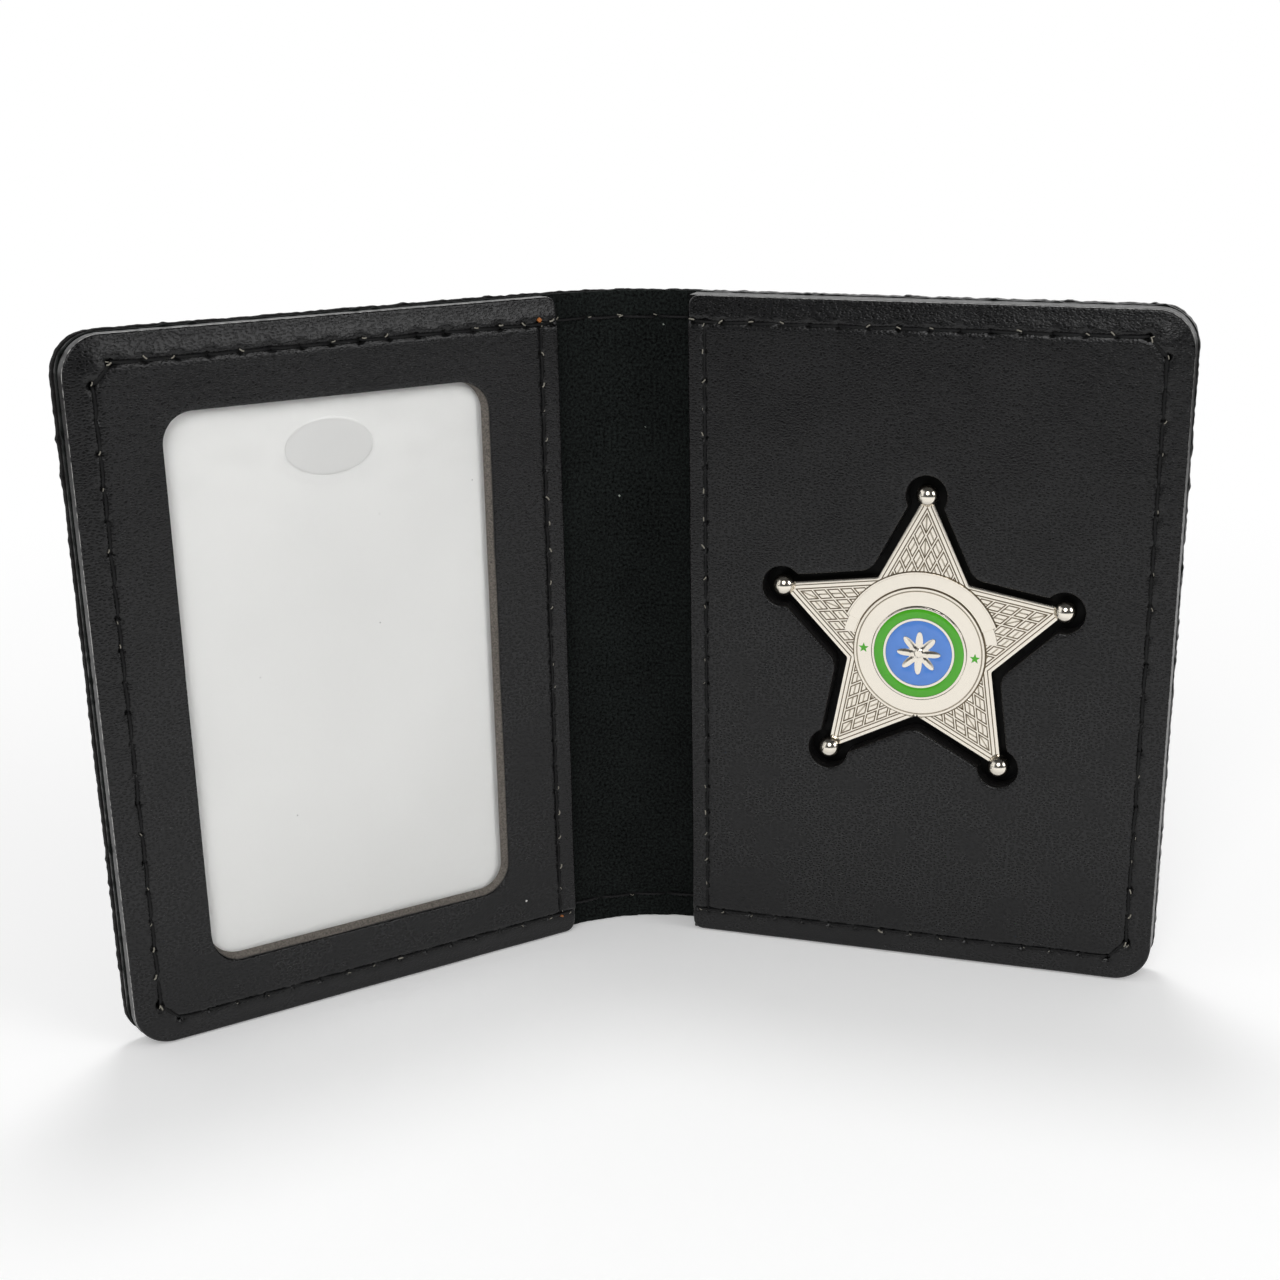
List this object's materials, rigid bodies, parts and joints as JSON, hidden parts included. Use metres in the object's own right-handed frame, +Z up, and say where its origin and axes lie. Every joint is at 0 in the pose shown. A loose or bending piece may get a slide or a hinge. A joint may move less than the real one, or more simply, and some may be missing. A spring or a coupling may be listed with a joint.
{
  "type": "leather id card holder",
  "caption": "Folding leather case that stands open: a clear-window card pocket on one leaf, a recessed metal star badge on the other, on a bending spine.",
  "frame": {"origin": "on the foot of the window leaf's cover leather, in the middle of its thickness, below the spine edge of the window panel", "axes": "+Z up, +Y out of the back of the window leaf, so that leaf's window faces -Y; +X from the window leaf towards the spine and the badge leaf"},
  "size_m": [0.1432, 0.0746, 0.104],
  "materials": {
    "cover_leather": "semi-gloss black grained leather",
    "panel_leather": "semi-gloss black grained leather",
    "suede_lining": "black suede, matt",
    "board": "leatherboard, matt",
    "black_board": "black, polished",
    "clear_vinyl": "clear flexible vinyl sheet",
    "card_plastic": "white card, satin",
    "nickel": "polished nickel plate on cast metal",
    "blue_enamel": "hard enamel, polished",
    "green_enamel": "hard enamel, polished",
    "nut_steel": "nickel-plated steel"
  },
  "bodies": {
    "window_leaf": {"cover_window_side": "cover_leather", "stiffener_window_side": "board", "lining_window_side": "suede_lining", "window_panel": "panel_leather", "clear_window": "clear_vinyl"},
    "spine": {"cover_spine": "cover_leather", "lining_spine": "suede_lining"},
    "badge_leaf": {"cover_badge_side": "cover_leather", "lining_badge_side": "suede_lining", "badge_backing": "black_board", "badge_spacer": "black_board", "badge_panel": "panel_leather", "badge_star": "nickel", "badge_seal": "nickel", "enamel_field": "blue_enamel", "enamel_ring": "green_enamel", "post_nut_left": "nut_steel", "post_nut_right": "nut_steel"},
    "card": {"id_card": "card_plastic"}
  },
  "joints": [
    {"name": "fold_window_side", "type": "hinge", "parent": "window_leaf", "child": "spine", "pos_m": [0.00508, -0.00229, 0], "axis": [0, 0, -1], "range_deg": [-26, 65.5], "deforming": ["cover_spine", "lining_spine"]},
    {"name": "fold_badge_side", "type": "hinge", "parent": "spine", "child": "badge_leaf", "pos_m": [0.01736, -0.00828, 0], "axis": [0, 0, -1], "range_deg": [-26, 65.5], "deforming": ["cover_spine", "lining_spine"]},
    {"name": "card_slide", "type": "slide", "parent": "window_leaf", "child": "card", "axis": [1, 0, 0], "range_m": [0, 0.01]}
  ],
  "couplings": [
    {"joint": "fold_badge_side", "follows": "fold_window_side", "ratio": 1}
  ]
}
